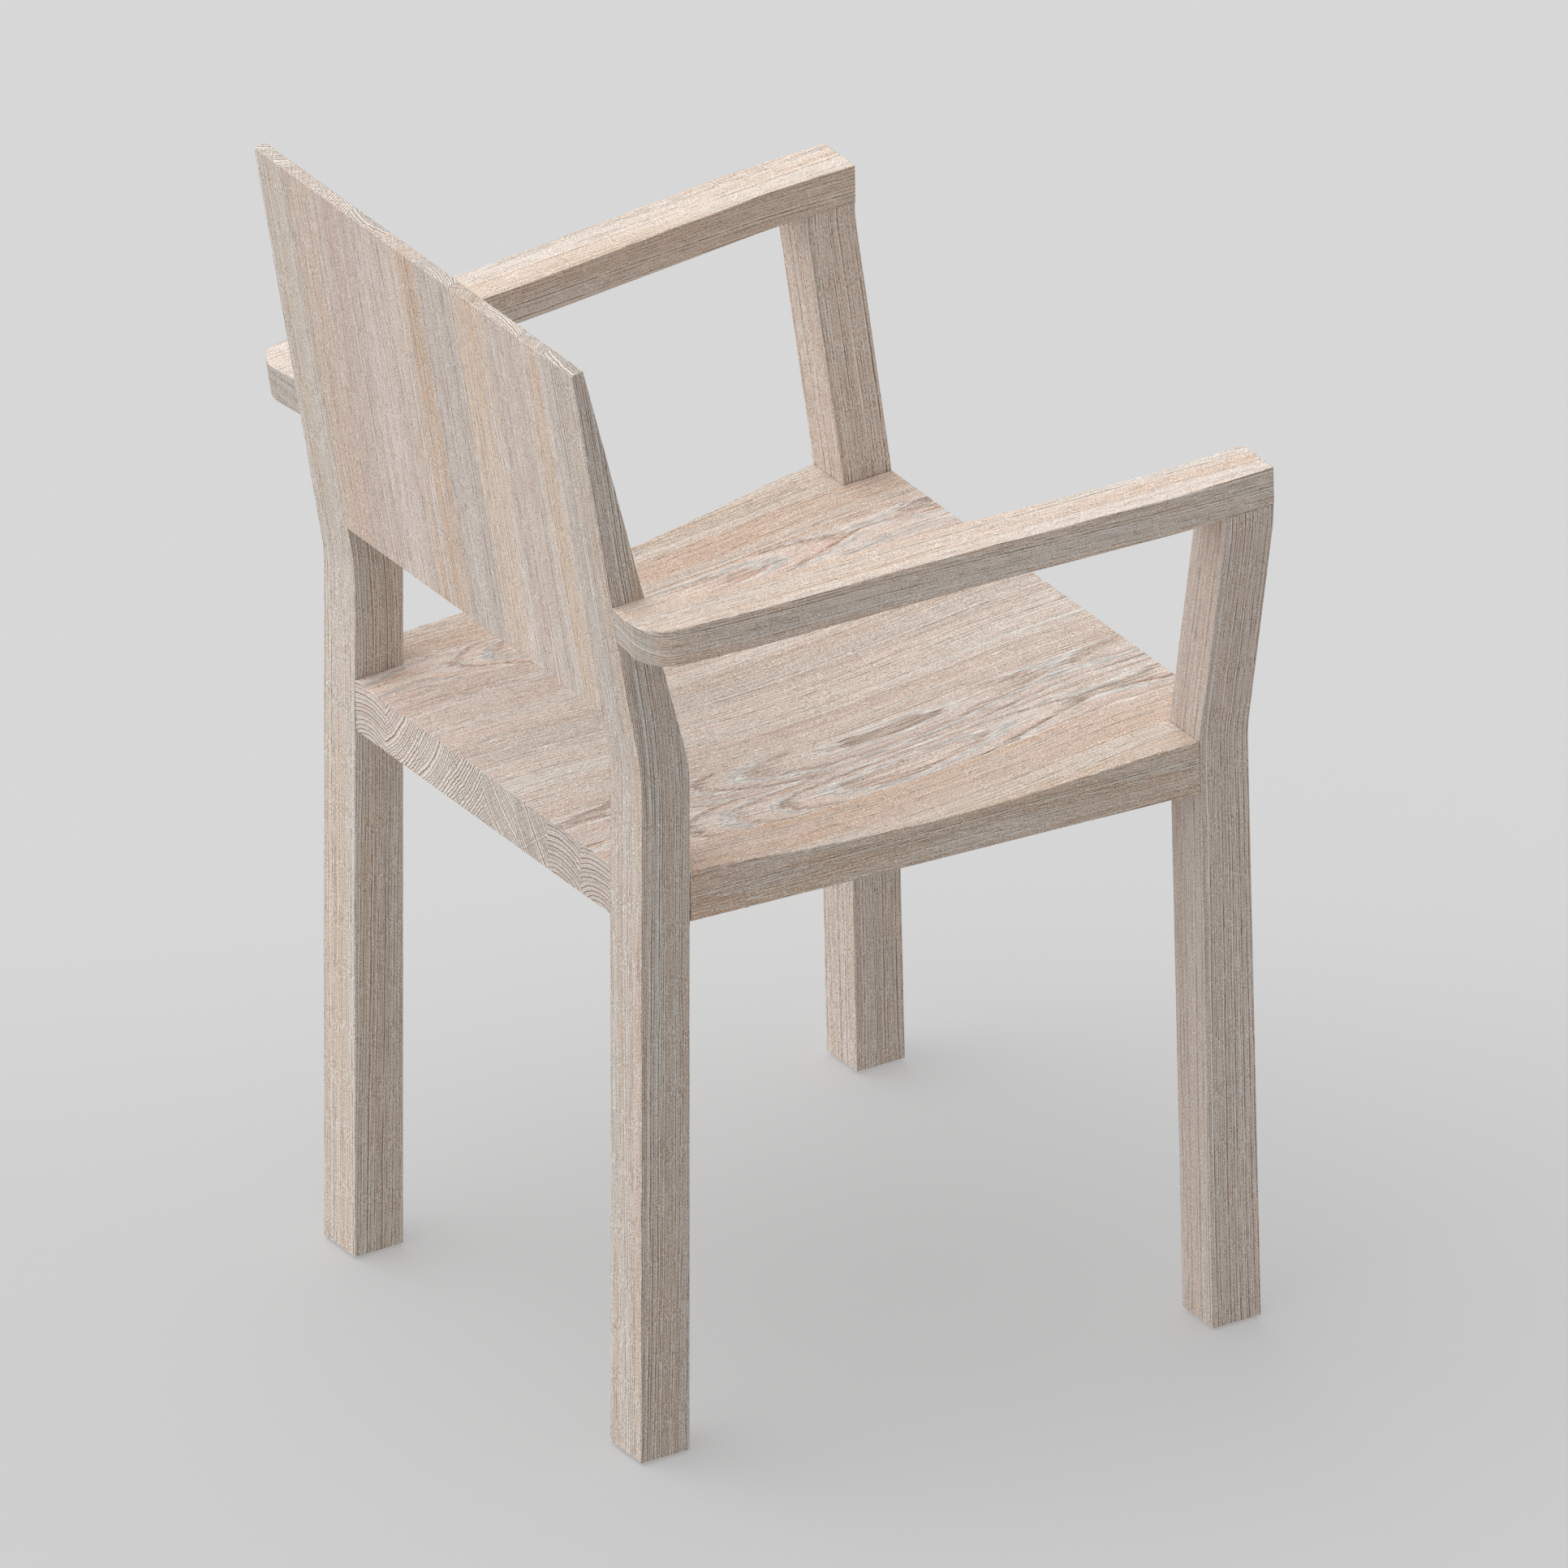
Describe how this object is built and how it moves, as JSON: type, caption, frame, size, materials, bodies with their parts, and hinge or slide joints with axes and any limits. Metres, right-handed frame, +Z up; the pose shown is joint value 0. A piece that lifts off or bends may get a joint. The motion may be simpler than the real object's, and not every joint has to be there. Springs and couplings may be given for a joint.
{
  "type": "armchair",
  "caption": "Wooden armchair with a dished seat of glued staves, a leaning slab back, bent tapering rear posts and armrests swinging out to kinked front legs.",
  "frame": {"origin": "on the floor, under the middle of the chair's bounding box", "axes": "+Z is up, -Y is the way the sitter faces, +X is the sitter's left"},
  "size_m": [0.5756, 0.539, 0.8692],
  "materials": {
    "leg_oak": "brushed, white-limed and matt oiled",
    "armrest_oak": "brushed, white-limed and matt oiled",
    "back_oak": "brushed, white-limed and matt oiled",
    "seat_oak": "brushed, white-limed and matt oiled",
    "dowel_beech": "plain turned beech",
    "glide_plastic": "moulded, matt"
  },
  "bodies": {
    "root": {"armrest_left": "armrest_oak", "armrest_right": "armrest_oak", "back_stave_1": "back_oak", "back_stave_2": "back_oak", "back_stave_3": "back_oak", "back_stave_4": "back_oak", "back_stave_5": "back_oak", "back_stave_6": "back_oak", "back_stave_7": "back_oak", "back_stave_8": "back_oak", "dowel_arm_front_1_left": "dowel_beech", "dowel_arm_front_1_right": "dowel_beech", "dowel_arm_front_2_left": "dowel_beech", "dowel_arm_front_2_right": "dowel_beech", "dowel_arm_rear_1_left": "dowel_beech", "dowel_arm_rear_1_right": "dowel_beech", "dowel_arm_rear_2_left": "dowel_beech", "dowel_arm_rear_2_right": "dowel_beech", "dowel_back_1_left": "dowel_beech", "dowel_back_1_right": "dowel_beech", "dowel_back_2_left": "dowel_beech", "dowel_back_2_right": "dowel_beech", "dowel_back_3_left": "dowel_beech", "dowel_back_3_right": "dowel_beech", "dowel_seat_front_1_left": "dowel_beech", "dowel_seat_front_1_right": "dowel_beech", "dowel_seat_front_2_left": "dowel_beech", "dowel_seat_front_2_right": "dowel_beech", "dowel_seat_rear_1_left": "dowel_beech", "dowel_seat_rear_1_right": "dowel_beech", "dowel_seat_rear_2_left": "dowel_beech", "dowel_seat_rear_2_right": "dowel_beech", "front_leg_left": "leg_oak", "front_leg_right": "leg_oak", "glide_front_left": "glide_plastic", "glide_front_right": "glide_plastic", "glide_rear_left": "glide_plastic", "glide_rear_right": "glide_plastic", "rear_leg_left": "leg_oak", "rear_leg_right": "leg_oak", "seat_stave_1": "seat_oak", "seat_stave_2": "seat_oak", "seat_stave_3": "seat_oak", "seat_stave_4": "seat_oak", "seat_stave_5": "seat_oak", "seat_stave_6": "seat_oak", "seat_stave_7": "seat_oak", "seat_stave_8": "seat_oak", "seat_stave_9": "seat_oak", "seat_stave_10": "seat_oak", "seat_stave_11": "seat_oak", "seat_stave_12": "seat_oak"}
  },
  "joints": []
}
